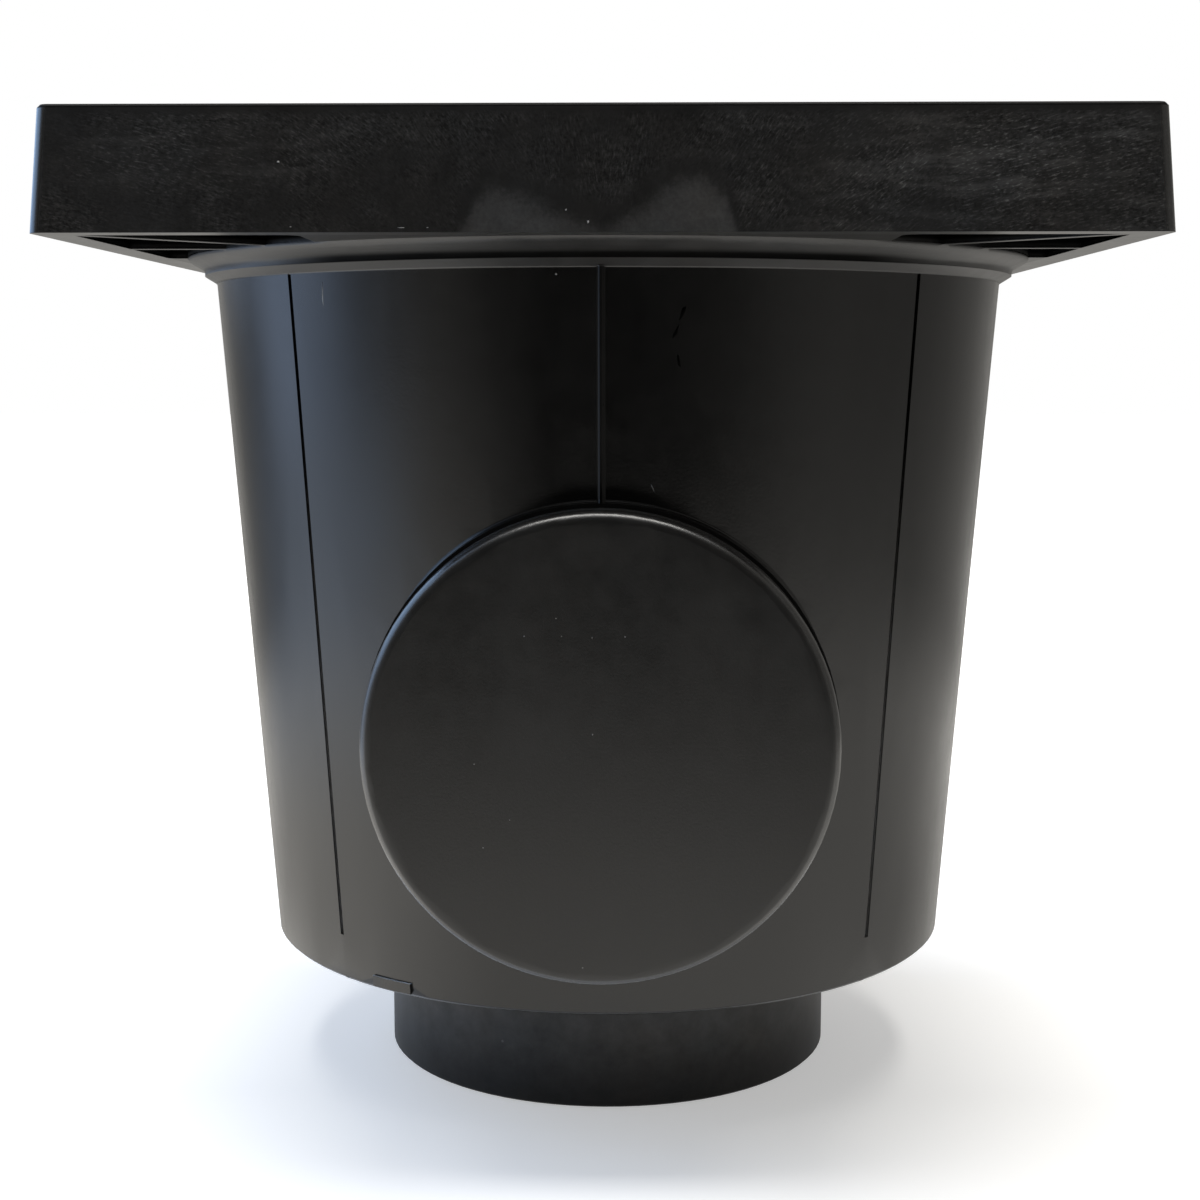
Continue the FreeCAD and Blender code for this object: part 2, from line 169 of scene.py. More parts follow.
# Unevenness of the frame's outer faces, as shares of the rim's paleness
RIM_GRAIN_NOISE = (1100.0, 3.0, 0.7)
RIM_CLOUD_NOISE = (55.0, 4.0, 0.65)
RIM_FRONT_Y = (-0.1215, -0.1225)
RIGHT_WORN = ((0.092, 0.2375), 0.036, 0.011)
RIGHT_WORN_LEVEL = 1.5
LEFT_WORN = ((-0.086, 0.2390), 0.040, 0.011)
LEFT_WORN_LEVEL = 1.1
WORN_TO_RIGHT = (0.018, 0.060)
WORN_CLOUD = (0.40, 0.66)
WORN_CLOUD_LEVEL = 0.8
ROUGH_CLOUD = (0.38, 0.62)
ROUGH_LOW = 0.4
RIM_LEVEL = 0.74
RIM_GRAIN_GAIN = 2.5
RIM_FLECK_GAIN = 2.0
SMEAR_STRETCH = (70.0, 70.0, 330.0)
SMEAR_NOISE = (1.0, 5.0, 0.7)
SMEAR_RANGE = (0.44, 0.70)
SMEAR_SWING = 0.75
SMEAR_LOW = 0.12
BRIGHT_FLECKS = (0.54, 0.72)
BRIGHT_LOW = 0.10
BRIGHT_LEVEL = 1.7
# Darker, plain band along the top of the frame's faces: painted shade.
RIM_TOP_HEIGHTS = (FRAME_TOP_Z - 0.0034, FRAME_TOP_Z - 0.0008)
RIM_TOP_PAINTED_SHADE = 0.62
LOWEST_RIM_LEVEL = 0.2
SCUFF_RAGGED_NOISE = (300.0, 4.0, 0.7)
SCUFF_RAGGED_GAIN = 0.006
SCUFF_ENDS = (0.0004, 0.0016)
SCUFF_DEPTH = (-0.0012, 0.0030)
HALO_DEPTH = (-0.0080, -0.0012)
HALO_SHARE = 0.8
HALO_LEVEL = 0.66
SCUFF_PALE_DEPTH = (0.0, 0.0065)
SCUFF_PALE_LOW = 1.7
SCUFF_GRAIN_GAIN = 2.4
SCUFF_CLOUD_GAIN = 0.8

# Upper edge of the pale scuffs at the bottom of the front rim: (X, height over the rim's lower edge)
SCUFF_EDGE = [(-0.0321, 0.0), (-0.0298, 0.0020), (-0.0268, 0.0078), (-0.0245, 0.0104), (-0.0204, 0.0104),
              (-0.0133, 0.0075), (-0.0063, 0.0043), (0.0011, 0.0016), (0.0060, 0.0046), (0.0125, 0.0090),
              (0.0172, 0.0123), (0.0231, 0.0127), (0.0272, 0.0095), (0.0298, 0.0020), (0.0307, 0.0)]

# Flow flecks on the rim: how steeply they lean, and where along the rim they run
FLECK_LEANS = [(80, (-0.020, -0.010, 0.010, 0.020)), (55, (0.010, 0.020, 0.038, 0.050)),
               (36, (0.038, 0.050, 0.066, 0.080)), (15, (0.066, 0.080, 0.130, 0.140))]
FLECK_LENGTHWISE = 620.0
FLECK_CROSSWISE = 2300.0
FLECK_HALF_OFFSET = 5.0
FLECK_NOISE = (1.0, 3.0, 0.6)

# Crumbs and marks on the front: X, Z, half width, half height and turn in degrees
PALE_FLECKS = [(-0.0024, 0.2244, 0.00035, 0.0006, 10), (-0.0072, 0.2270, 0.0003, 0.0004, 40),
               (-0.0697, 0.2374, 0.0004, 0.0003, 0), (-0.0430, 0.2232, 0.0016, 0.00015, 0),
               (-0.0373, 0.2232, 0.0005, 0.00015, 0), (-0.0671, 0.2234, 0.0004, 0.0002, 0)]
DULL_FLECKS = [(-0.0170, 0.1330, 0.0003, 0.0003, 0), (-0.0086, 0.1330, 0.0003, 0.00025, 20),
               (-0.0017, 0.1327, 0.00025, 0.0003, 0), (0.0057, 0.1329, 0.0003, 0.0003, 50),
               (-0.0098, 0.1371, 0.0003, 0.0003, 0), (-0.0016, 0.1106, 0.0003, 0.0003, 15),
               (-0.0285, 0.1037, 0.0003, 0.0003, 0), (-0.0205, 0.0908, 0.0003, 0.0003, 30),
               (-0.0266, 0.0843, 0.0003, 0.0003, 0), (-0.0039, 0.0562, 0.0004, 0.0003, 35),
               (0.0120, 0.1652, 0.0002, 0.0017, -24), (-0.0101, 0.2141, 0.0003, 0.0003, 0),
               (-0.0670, 0.2110, 0.0002, 0.0044, 0)]
DARK_FLECKS = [(0.0186, 0.2055, 0.0005, 0.0022, 22), (0.0170, 0.2010, 0.0004, 0.0020, 26),
               (0.0178, 0.1945, 0.0003, 0.0016, -10)]
FLECK_SIDES = 7
FLECK_HEIGHT = 0.00006
FLECK_ROOT = 3 * FLECK_HEIGHT
FLECK_RAGGED = 0.25
FLECK_SIDE_PHASE = 2.7
FLECK_ROW_PHASE = 1.9
PALE_DUST_LEVEL = 0.30
DULL_DUST_LEVEL = 0.20
DARK_SMEAR_LEVEL = 0.0012
DARK_SMEAR_SHINE = 0.03
DUST_NOISE = (2500.0, 2.0)
DUST_SWING = 0.9
DUST_LOW = 0.55
DUST_ROUGHNESS = 0.8

# Studio
FLOOR_HALF = 8.0
FLOOR_DROP = 0.0003
FLOOR_ALBEDO = 0.82
FLOOR_FILL = 0.42
FLOOR_FILL_REACH = (0.45, 1.2)
# Painted pool of window light, glowing on the floor to the left
POOL_LIGHT = 1.0
POOL_DEGREES = (30, 55, 88, 116)
POOL_REACH = (0.17, 0.27, 0.60, 0.90)
KEY_SIZE = 1.1
KEY_HEIGHT = 1.5
KEY_POWER = 30.0
KEY_COLOUR = (1.0, 0.975, 0.93)
WORLD_FILL = 0.3

# Lit ring on the floor and round wall: (radius, height) points, where the ring fades, and how many flats
FOOT_PROFILE = [(0.14, 0.0005), (0.40, 0.0008), (0.55, 0.004), (0.74, 0.010), (0.78, 0.03)]
WALL_PROFILE = [(0.78, 0.03), (0.78, 1.15)]
FOOT_FADE = (0.40, 0.74)
WALL_SEGMENTS = 96

# What the ring and the wall send to the object, by the angle in degrees from the front towards the left
FOOT_NEAR_LIGHT = [(-180, 0.75), (-120, 0.92), (-60, 1.18), (-25, 1.30), (25, 1.28), (50, 1.75), (75, 2.00),
                   (95, 1.85), (115, 1.10), (150, 0.80), (180, 0.75)]
NEAR_SHADE = 0.60
NEAR_SHADE_REACH = (0.10, 0.56)
NEAR_SHADE_DEGREES = (55, 95)
FOOT_FAR_LIGHT = [(-180, 0.62), (-150, 0.58), (-136, 0.40), (-100, 0.36), (-75, 0.46), (-61, 0.46),
                  (-47, 0.34), (-34, 0.19), (-18, 0.01), (14, 0.01), (27, 0.20), (38, 0.45), (50, 0.78),
                  (63, 1.20), (78, 1.40), (94, 1.40), (113, 0.46), (130, 0.26), (155, 0.58), (180, 0.62)]
WALL_LIGHT = [(-180, 0.62), (-155, 0.37), (-116, 0.30), (-95, 0.27), (-79, 0.28), (-65, 0.34), (-52, 0.30),
              (-40, 0.19), (-28, 0.09), (-15, 0.05), (14, 0.05), (27, 0.09), (39, 0.18), (51, 0.28),
              (64, 0.42), (78, 0.50), (98, 0.48), (115, 0.32), (132, 0.24), (155, 0.46), (180, 0.62)]
WARM_TINT = (1.03, 1.0, 0.94, 1.0)
COOL_TINT = (0.86, 1.0, 1.22, 1.0)
COOL_DEGREES = (42, 74, 112, 140)
COOL_REACH = (0.25, 0.72)
FOOT_TOP = (0.02, 0.15)
WINDOW_LOW_LIGHT = (1.13, 1.42, 1.95, 1.0)
WINDOW_HIGH_LIGHT = (1.25, 1.80, 2.70, 1.0)
WINDOW_RISE = (0.16, 0.36)
WINDOW_DEGREES = (66, 90, 98, 116)
HIGH_WINDOW_DEGREES = (56, 78, 122, 146)
WINDOW_HEIGHTS = (0.03, 0.10, 0.90, 1.00)


def pot_radius(z):
    """Outer radius of the tapered pot at a height."""
    share = (z - POT_BASE_Z) / (POT_TOP_Z - POT_BASE_Z)
    return POT_BASE_R + share * (POT_TOP_R - POT_BASE_R)


def on_pot(x, z):
    """Point of the pot's front at a sideways place and a height."""
    return Vector((x, -math.sqrt(pot_radius(z) ** 2 - x * x), z))


def add_node(tree, kind, settings=None, **inputs):
    """New node. Settings are its own properties; inputs are values or the sockets that feed it."""
    node = tree.nodes.new(kind)
    for name, value in (settings or {}).items():
        setattr(node, name, value)
    for name, value in inputs.items():
        key = int(name[1:]) if name[0] == "_" else name.replace("_", " ")
        socket = node.inputs[key]
        if isinstance(value, bpy.types.NodeSocket):
            tree.links.new(value, socket)
        else:
            socket.default_value = value
    return node


def math_node(tree, operation, first, second=0.0, third=0.0, clamp=False):
    """Result socket of one sum."""
    node = add_node(tree, "ShaderNodeMath", {"operation": operation, "use_clamp": clamp},
                    _0=first, _1=second, _2=third)
    return node.outputs[0]


def smooth_range(tree, value, low, high):
    """Socket that rises smoothly from 0 at low to 1 at high."""
    node = add_node(tree, "ShaderNodeMapRange", {"interpolation_type": "SMOOTHSTEP"},
                    Value=value, From_Min=low, From_Max=high)
    return node.outputs[0]


def noise(tree, vector, scale, detail=2.0, roughness=0.5):
    """Noise value socket."""
    node = add_node(tree, "ShaderNodeTexNoise", None, Vector=vector, Scale=scale, Detail=detail,
                    Roughness=roughness)
    return node.outputs[0]


def stretched(tree, vector, scale):
    """Vector or colour socket scaled on each axis."""
    node = add_node(tree, "ShaderNodeVectorMath", {"operation": "MULTIPLY"}, _0=vector, _1=scale)
    return node.outputs[0]


def new_material(name):
    """Empty node material and its principled shader."""
    material = bpy.data.materials.new(name)
    material.use_nodes = True
    tree = material.node_tree
    tree.nodes.clear()
    shader = tree.nodes.new("ShaderNodeBsdfPrincipled")
    output = tree.nodes.new("ShaderNodeOutputMaterial")
    tree.links.new(shader.outputs[0], output.inputs[0])
    return material, tree, shader


def blend(tree, share, first, second):
    """Socket between two values."""
    node = add_node(tree, "ShaderNodeMix", {"data_type": "FLOAT"}, _0=share, _2=first, _3=second)
    return node.outputs[0]


def mixed(tree, share, first, second):
    """Socket between two colours."""
    node = add_node(tree, "ShaderNodeMix", {"data_type": "RGBA"}, _0=share, _6=first, _7=second)
    return node.outputs[2]


def product(tree, *factors):
    """Socket with all factors multiplied."""
    result = factors[0]
    for factor in factors[1:]:
        result = math_node(tree, "MULTIPLY", result, factor)
    return result


def inside(tree, value, limits):
    """Socket that is 1 between the two inner limits and 0 outside the two outer ones."""
    low_out, low_in, high_in, high_out = limits
    return math_node(tree, "SUBTRACT", smooth_range(tree, value, low_out, low_in),
                     smooth_range(tree, value, high_in, high_out))


def falling(tree, value, high, low):
    """Socket that falls smoothly from 1 at the first limit to 0 at the second."""
    return math_node(tree, "SUBTRACT", 1.0, smooth_range(tree, value, high, low))


def oval(tree, x, z, centre, half_x, half_z):
    """Socket that fades from 1 in the middle of an oval to 0 at its edge."""
    across = math_node(tree, "DIVIDE", math_node(tree, "SUBTRACT", x, centre[0]), half_x)
    up = math_node(tree, "DIVIDE", math_node(tree, "SUBTRACT", z, centre[1]), half_z)
    size = math_node(tree, "ADD", product(tree, across, across), product(tree, up, up))
    return falling(tree, size, 0.0, 1.0)


def centred(tree, value, gain):
    """Noise value moved to swing about zero, times a gain."""
    return math_node(tree, "MULTIPLY_ADD", value, gain, -0.5 * gain)


def by_table(tree, value, table, low, high):
    """Colour socket that follows a table of (value, level) pairs between two limits."""
    share = math_node(tree, "MULTIPLY_ADD", value, 1 / (high - low), -low / (high - low))
    ramp = add_node(tree, "ShaderNodeValToRGB", None, _0=share)
    elements = ramp.color_ramp.elements
    while len(elements) < len(table):
        elements.new(0.5)
    for element, (place, level) in zip(elements, table):
        element.position = (place - low) / (high - low)
        element.color = (level, level, level, 1.0)
    return ramp.outputs[0]


def flow_flecks(tree, side, height):
    """Short fine flecks that lean more and more towards the rim's ends."""
    reach = math_node(tree, "ABSOLUTE", side)
    half = math_node(tree, "GREATER_THAN", side, 0.0)
    total = 0.0
    for lean, limits in FLECK_LEANS:
        cosine, sine = math.cos(math.radians(lean)), math.sin(math.radians(lean))
        along = math_node(tree, "MULTIPLY_ADD", reach, cosine, math_node(tree, "MULTIPLY", height, sine))
        across = math_node(tree, "MULTIPLY_ADD", reach, -sine, math_node(tree, "MULTIPLY", height, cosine))
        place = add_node(tree, "ShaderNodeCombineXYZ", None,
                         X=math_node(tree, "MULTIPLY", along, FLECK_LENGTHWISE),
                         Y=math_node(tree, "MULTIPLY", across, FLECK_CROSSWISE),
                         Z=math_node(tree, "MULTIPLY_ADD", half, FLECK_HALF_OFFSET, lean)).outputs[0]
        layer = noise(tree, place, *FLECK_NOISE)
        total = math_node(tree, "MULTIPLY_ADD", layer, inside(tree, reach, limits), total)
    return total


def rim_level(tree, position, normal, x, y, z):
    """How pale the frame's outer faces are: flow flecks all round, scuffs and worn patches at the front."""
    facing = add_node(tree, "ShaderNodeSeparateXYZ", None, _0=normal)
    side = math_node(tree, "ADD", product(tree, x, math_node(tree, "ABSOLUTE", facing.outputs[1])),
                     product(tree, y, math_node(tree, "ABSOLUTE", facing.outputs[0])))
    height = math_node(tree, "SUBTRACT", z, FRAME_BASE_Z)
    fleck = flow_flecks(tree, side, height)
    grain = noise(tree, position, *RIM_GRAIN_NOISE)
    cloud = noise(tree, position, *RIM_CLOUD_NOISE)
    front = smooth_range(tree, y, *RIM_FRONT_Y)

    worn = math_node(tree, "ADD", product(tree, oval(tree, x, z, *RIGHT_WORN), front, RIGHT_WORN_LEVEL),
                     product(tree, oval(tree, x, z, *LEFT_WORN), front, LEFT_WORN_LEVEL))
    worn = math_node(tree, "ADD", worn, product(tree, smooth_range(tree, x, *WORN_TO_RIGHT), front))
    worn = math_node(tree, "MULTIPLY_ADD", smooth_range(tree, cloud, *WORN_CLOUD), WORN_CLOUD_LEVEL, worn)

    rough = math_node(tree, "ADD", smooth_range(tree, cloud, *ROUGH_CLOUD), ROUGH_LOW)
    level = math_node(tree, "ADD", product(tree, centred(tree, grain, RIM_GRAIN_GAIN), rough), RIM_LEVEL)
    level = math_node(tree, "ADD", product(tree, centred(tree, fleck, RIM_FLECK_GAIN), rough), level)
    smear = noise(tree, stretched(tree, position, SMEAR_STRETCH), *SMEAR_NOISE)
    smear = math_node(tree, "MULTIPLY_ADD", smooth_range(tree, smear, *SMEAR_RANGE), SMEAR_SWING, SMEAR_LOW)
    level = math_node(tree, "MULTIPLY_ADD", worn, smear, level)
    bright = product(tree, smooth_range(tree, fleck, *BRIGHT_FLECKS),
                     math_node(tree, "ADD", worn, BRIGHT_LOW))
    level = math_node(tree, "MULTIPLY_ADD", bright, BRIGHT_LEVEL, level)
    # The top band of the frame's faces is darker: painted shade.
    level = blend(tree, smooth_range(tree, z, *RIM_TOP_HEIGHTS), level, RIM_TOP_PAINTED_SHADE)

    ragged = centred(tree, noise(tree, position, *SCUFF_RAGGED_NOISE), SCUFF_RAGGED_GAIN)
    top = by_table(tree, x, SCUFF_EDGE, SCUFF_EDGE[0][0], SCUFF_EDGE[-1][0])
    depth = math_node(tree, "SUBTRACT", math_node(tree, "ADD", top, ragged), height)
    near = product(tree, front, smooth_range(tree, top, *SCUFF_ENDS))
    scuff = product(tree, smooth_range(tree, depth, *SCUFF_DEPTH), near)
    halo = product(tree, smooth_range(tree, depth, *HALO_DEPTH), near)
    level = blend(tree, product(tree, halo, HALO_SHARE), level, HALO_LEVEL)
    pale = math_node(tree, "ADD", smooth_range(tree, depth, *SCUFF_PALE_DEPTH), SCUFF_PALE_LOW)
    pale = math_node(tree, "ADD", centred(tree, grain, SCUFF_GRAIN_GAIN), pale)
    pale = math_node(tree, "ADD", centred(tree, cloud, SCUFF_CLOUD_GAIN), pale)
    level = blend(tree, scuff, level, pale)
    return math_node(tree, "MAXIMUM", level, LOWEST_RIM_LEVEL)


def body_zones(tree, position, normal):
    """Sockets of the body's paleness, roughness and shine, which differ between its parts. Several zones are
    painted paler, darker or shinier to stand in for light, shade and highlights.
    """
    x, y, z = add_node(tree, "ShaderNodeSeparateXYZ", None, _0=position).outputs
    facing = add_node(tree, "ShaderNodeSeparateXYZ", None, _0=normal)
    flat_x, flat_y = math_node(tree, "ABSOLUTE", x), math_node(tree, "ABSOLUTE", y)
    square = math_node(tree, "MAXIMUM", flat_x, flat_y)
    away = math_node(tree, "SQRT", math_node(tree, "ADD", product(tree, x, x), product(tree, y, y)))
    slope = (POT_TOP_R - POT_BASE_R) / (POT_TOP_Z - POT_BASE_Z)
    pot_away = math_node(tree, "MULTIPLY_ADD", z, slope, POT_BASE_R - slope * POT_BASE_Z)

    proud_of_pot = math_node(tree, "SUBTRACT", away, pot_away)

    below_spigot_top = falling(tree, z, *SIDE_SPIGOT_TOP)
    disc = product(tree, falling(tree, y, *DISC_FADE), below_spigot_top)
    # Disc edge: painted highlight.
    disc_edge = product(tree, inside(tree, y, DISC_EDGE_Y), below_spigot_top)
    # Side spigot wall: painted light.
    spigot = product(tree, falling(tree, y, *SIDE_SPIGOT_Y), below_spigot_top)
    # Bottom spigot: painted light, with painted shade at its foot.
    lower = falling(tree, z, *BOTTOM_SPIGOT_TOP)
    lower_foot = falling(tree, z, *BOTTOM_SPIGOT_FOOT)
    # Neck: paler than the pot, painted light.
    neck = product(tree, inside(tree, z, NECK_HEIGHTS), smooth_range(tree, away, *NECK_REACH))
    # Crease: painted shade, fading out towards the sides.
    crease = product(tree, inside(tree, z, CREASE_HEIGHTS), smooth_range(tree, away, *CREASE_REACH),
                     falling(tree, flat_x, *CREASE_FADE))
    # Underside of the frame: painted reflection of the floor.
    underside = product(tree, neck, falling(tree, facing.outputs[2], *UNDERSIDE_FACING),
                        smooth_range(tree, square, *UNDERSIDE_REACH))
    ridge = product(tree, inside(tree, x, RIDGE_X), falling(tree, y, *RIDGE_Y),
                    inside(tree, z, RIDGE_HEIGHTS), smooth_range(tree, proud_of_pot, *RIDGE_PROUD))
    # Pockets: painted shade.
    pocket = product(tree, smooth_range(tree, z, *POCKET_HEIGHTS), falling(tree, square, *POCKET_OUTER),
                     smooth_range(tree, away, *POCKET_INNER))
    rim = product(tree, smooth_range(tree, z, *RIM_HEIGHTS), smooth_range(tree, square, *RIM_REACH),
                  falling(tree, math_node(tree, "ABSOLUTE", facing.outputs[2]), *RIM_FACING))
    # Top edge of the frame: painted shade.
    top_edge = product(tree, rim, smooth_range(tree, z, *TOP_EDGE_HEIGHTS))
    half = math_node(tree, "MULTIPLY_ADD", z, -FRAME_DRAFT, FRAME_HALF + FRAME_DRAFT * FRAME_BASE_Z)
    past = math_node(tree, "SUBTRACT", math_node(tree, "MINIMUM", flat_x, flat_y), half)
    # Upright corners: painted highlight.
    corner = product(tree, rim, smooth_range(tree, past, *CORNER_START))
    # Lug ledge and lug end: painted light.
    ledge = product(tree, smooth_range(tree, facing.outputs[2], *LEDGE_FACING), inside(tree, z, LUG_TOP),
                    smooth_range(tree, away, *LEDGE_REACH))
    proud = product(tree, smooth_range(tree, proud_of_pot, *LUG_PROUD), inside(tree, z, LUG_HEIGHTS),
                    falling(tree, y, *LUG_Y))
    # Lug: painted light, fading towards the right.
    lug = product(tree, proud, falling(tree, x, *LUG_FADE_X))
    lug_end = product(tree, proud, inside(tree, x, LUG_END_X),
                      smooth_range(tree, facing.outputs[0], *LUG_END_FACING))
    # Grooves: painted light, low down at the front.
    off_line = math_node(tree, "ABSOLUTE", math_node(tree, "SUBTRACT", flat_x, flat_y))
    groove = product(tree, falling(tree, off_line, *GROOVE_OFF_LINE),
                     falling(tree, proud_of_pot, *GROOVE_SINK), smooth_range(tree, proud_of_pot, *GROOVE_FLOOR),
                     falling(tree, z, *GROOVE_LIGHT_HEIGHTS), falling(tree, y, *GROOVE_LIGHT_Y))
    zones = ((neck, NECK_PAINTED_LIGHT), (underside, UNDERSIDE_PAINTED_REFLECTION), (crease, CREASE_PAINTED_SHADE),
             (ridge, RIDGE_PLASTIC), (spigot, SPIGOT_SIDE_PAINTED_LIGHT), (disc, DISC_PLASTIC),
             (disc_edge, DISC_EDGE_PAINTED_HIGHLIGHT), (lower, LOWER_PAINTED_LIGHT), (lower_foot, LOWER_FOOT_PAINTED_SHADE),
             (pocket, POCKET_PAINTED_SHADE), (rim, RIM_PLASTIC), (corner, CORNER_PAINTED_HIGHLIGHT),
             (top_edge, TOP_EDGE_PAINTED_SHADE), (lug, LUG_PAINTED_LIGHT), (ledge, LEDGE_PAINTED_LIGHT), (lug_end, LEDGE_PAINTED_LIGHT),
             (groove, GROOVE_PAINTED_LIGHT))
    level, gloss, shine = POT_PLASTIC
    for mask, plastic in zones:
        level = blend(tree, mask, level, plastic[0])
        gloss = blend(tree, mask, gloss, plastic[1])
        shine = blend(tree, mask, shine, plastic[2])
    marks = rim_level(tree, position, normal, x, y, z)
    return product(tree, level, blend(tree, rim, 1.0, marks)), gloss, shine


def moulded_plastic(name, level, gloss, shine, zones=None):
    """Black moulded plastic with mottling, soft upright bands, fine grain and a few specks."""
    material, tree, shader = new_material(name)
    position = add_node(tree, "ShaderNodeTexCoord").outputs["Object"]
    if zones:
        normal = add_node(tree, "ShaderNodeNewGeometry").outputs["True Normal"]
        level, gloss, shine = zones(tree, position, normal)
        tree.links.new(shine, shader.inputs["Specular IOR Level"])
    else:
        shader.inputs["Specular IOR Level"].default_value = shine
    mottle = noise(tree, position, *MOTTLE_NOISE)
    bands = noise(tree, stretched(tree, position, BAND_STRETCH), *BAND_NOISE)
    patches = noise(tree, position, *PATCH_NOISE)
    grain = noise(tree, position, *GRAIN_NOISE)

    tone = 1.0
    for value, tone_gain, gloss_gain in zip((mottle, bands, patches), TONE_GAINS, GLOSS_GAINS):
        tone = math_node(tree, "ADD", tone, centred(tree, value, tone_gain))
        gloss = math_node(tree, "ADD", gloss, centred(tree, value, gloss_gain))
    level = product(tree, level, tone)
    cells = add_node(tree, "ShaderNodeTexVoronoi", None, Vector=position, Scale=SPECK_SCALE)
    chance = add_node(tree, "ShaderNodeSeparateColor", None, _0=cells.outputs["Color"]).outputs[0]
    speck = product(tree, math_node(tree, "GREATER_THAN", chance, SPECK_CHANCE),
                    math_node(tree, "LESS_THAN", cells.outputs["Distance"], SPECK_SIZE))
    level = math_node(tree, "MULTIPLY_ADD", speck, SPECK_PALENESS, level)
    warm = math_node(tree, "MULTIPLY_ADD", noise(tree, position, *WARM_NOISE), WARM_SWING, WARM_LOW)
    base = add_node(tree, "ShaderNodeCombineColor", None, Red=product(tree, level, warm), Green=level,
                    Blue=math_node(tree, "DIVIDE", level, warm)).outputs[0]

    bump = add_node(tree, "ShaderNodeBump", None, Strength=GRAIN_BUMP, Distance=GRAIN_DEPTH, Height=grain)
    tree.links.new(base, shader.inputs["Base Color"])
    tree.links.new(gloss, shader.inputs["Roughness"])
    tree.links.new(bump.outputs[0], shader.inputs["Normal"])
    shader.inputs["IOR"].default_value = PLASTIC_IOR
    return material


def dust(name, level, shine=0.5):
    """Dull dust or chipped plastic, a little uneven."""
    material, tree, shader = new_material(name)
    position = add_node(tree, "ShaderNodeTexCoord").outputs["Object"]
    tone = math_node(tree, "MULTIPLY_ADD", noise(tree, position, *DUST_NOISE), DUST_SWING * level,
                     DUST_LOW * level)
    base = add_node(tree, "ShaderNodeCombineColor", None, Red=tone, Green=tone, Blue=tone).outputs[0]
    tree.links.new(base, shader.inputs["Base Color"])
    shader.inputs["Roughness"].default_value = DUST_ROUGHNESS
    shader.inputs["Specular IOR Level"].default_value = shine
    return material


def smooth_shading(piece):
    """Smooths the shading over small bends and chamfers, and leaves the mesh as it is."""
    group = bpy.data.node_groups.get("smooth_shading")
    if group is None:
        group = bpy.data.node_groups.new("smooth_shading", "GeometryNodeTree")
        group.interface.new_socket("Geometry", in_out="INPUT", socket_type="NodeSocketGeometry")
        group.interface.new_socket("Geometry", in_out="OUTPUT", socket_type="NodeSocketGeometry")
        start = add_node(group, "NodeGroupInput")
        welded = add_node(group, "GeometryNodeMergeByDistance", None, Geometry=start.outputs[0],
                          Distance=WELD_DISTANCE)
        plain = add_node(group, "GeometryNodeRemoveAttribute", None, Geometry=welded.outputs[0],
                         Name="custom_normal")
        soft_faces = add_node(group, "GeometryNodeSetShadeSmooth", {"domain": "FACE"},
                              Geometry=plain.outputs[0], Shade_Smooth=True)
        bend = add_node(group, "GeometryNodeInputMeshEdgeAngle")
        soft = add_node(group, "FunctionNodeCompare", {"data_type": "FLOAT", "operation": "LESS_EQUAL"},
                        _0=bend.outputs["Unsigned Angle"], _1=SMOOTH_ANGLE)
        soft_edges = add_node(group, "GeometryNodeSetShadeSmooth", {"domain": "EDGE"},
                              Geometry=soft_faces.outputs[0], Shade_Smooth=soft.outputs[0])
        add_node(group, "NodeGroupOutput", None, _0=soft_edges.outputs[0])
    piece.modifiers.new("smooth_shading", "NODES").node_group = group
    weighted = piece.modifiers.new("flat_faces_flat", "WEIGHTED_NORMAL")
    weighted.keep_sharp = True


def mesh_piece(name, build, material):
    """Object made by a function that fills a bmesh."""
    shape = bmesh.new()
    build(shape)
    bmesh.ops.recalc_face_normals(shape, faces=shape.faces)
    mesh = bpy.data.meshes.new(name)
    shape.to_mesh(mesh)
    shape.free()
    for face in mesh.polygons:
        face.use_smooth = True
    mesh.materials.append(material)
    piece = bpy.data.objects.new(name, mesh)
    bpy.context.scene.collection.objects.link(piece)
    return piece


def swept_ring(shape, sections):
    """Closed ring through a loop of closed sections."""
    rings = [[shape.verts.new(point) for point in section] for section in sections]
    for here, after in zip(rings, rings[1:] + rings[:1]):
        for step in range(len(here)):
            nxt = (step + 1) % len(here)
            shape.faces.new((here[step], here[nxt], after[nxt], after[step]))


def spigot_fillet(shape):
    """Concave fillet round the foot of the side spigot."""
    sections = []
    for turn in range(FILLET_TURNS):
        angle = 2 * math.pi * turn / FILLET_TURNS
        sideways, up = math.sin(angle), math.cos(angle)

        def around(radius):
            return on_pot(radius * sideways, SPIGOT_Z + radius * up)

        foot = around(SHOULDER_R)
        on_wall = around(SHOULDER_R + FILLET_SIZE)
        on_spigot = foot + Vector((0, -FILLET_SIZE, 0))
        section = []
        for step in range(FILLET_STEPS + 1):
            share = step / FILLET_STEPS
            section.append(on_wall * (1 - share) ** 2 + foot * 2 * share * (1 - share)
                           + on_spigot * share ** 2)
        section.append(around(SHOULDER_R - FILLET_ROOT) + Vector((0, FILLET_ROOT, 0)))
        sections.append(section)
    swept_ring(shape, sections)


def front_place(x, z):
    """Point of the gully's front, on the frame, the end disc or the pot."""
    if z > FRAME_BASE_Z:
        return Vector((x, FRAME_DRAFT * (z - FRAME_BASE_Z) - FRAME_HALF, z))
    if math.hypot(x, z - SPIGOT_Z) < SHOULDER_R:
        return Vector((x, DISC_Y, z))
    return on_pot(x, z)


